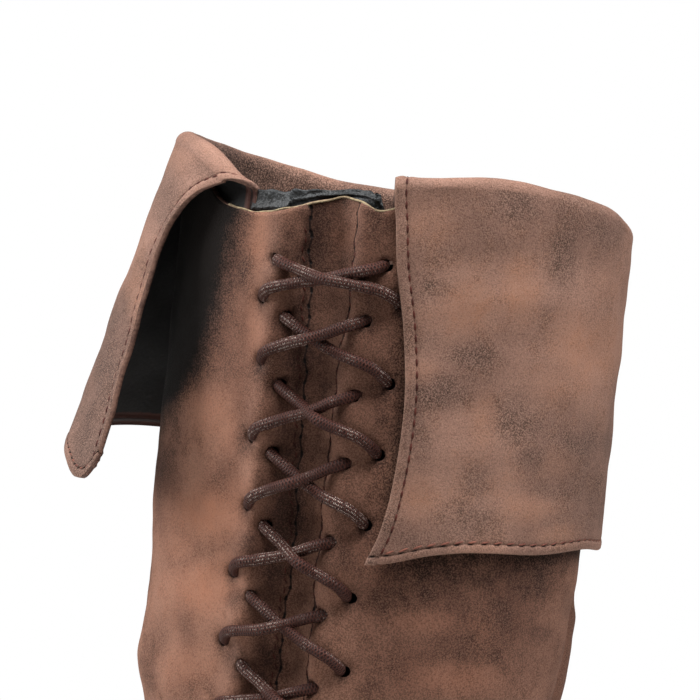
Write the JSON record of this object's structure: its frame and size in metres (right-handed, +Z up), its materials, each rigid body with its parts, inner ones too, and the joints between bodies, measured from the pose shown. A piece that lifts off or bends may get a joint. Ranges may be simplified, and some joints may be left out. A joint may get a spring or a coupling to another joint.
{
  "type": "tall laced boot",
  "caption": "Tall brown leather boot with a round toe, low block heel, criss-cross lacing up the shaft's front and a deep turned-down cuff with one flap flared.",
  "frame": {"origin": "on the floor, under the middle of the boot's outer box", "axes": "+Z up, toe towards -Y, heel towards +Y, the boot's outer side towards +X"},
  "size_m": [0.192, 0.3036, 0.418],
  "materials": {
    "upper_leather": "distressed mottled brown nubuck, matt with a waxy bloom",
    "cuff_leather": "distressed mottled brown nubuck, slightly lighter, stitched edge",
    "sole_rubber": "matt dark brown moulded rubber",
    "midsole_edge": "dark stained and burnished edge",
    "insole_lining": "dark woven sock lining",
    "lace": "waxed round braided cord with slight gloss"
  },
  "bodies": {
    "root": {"outsole": "sole_rubber", "midsole": "midsole_edge", "heel": "sole_rubber", "insole": "insole_lining", "upper": "upper_leather", "cuff": "cuff_leather", "lace_cross_1": "lace", "lace_cross_2": "lace", "lace_cross_3": "lace", "lace_cross_4": "lace", "lace_cross_5": "lace", "lace_cross_6": "lace", "lace_cross_7": "lace", "lace_cross_8": "lace", "lace_cross_9": "lace", "lace_cross_10": "lace", "lace_cross_11": "lace", "lace_bar": "lace"}
  },
  "joints": []
}
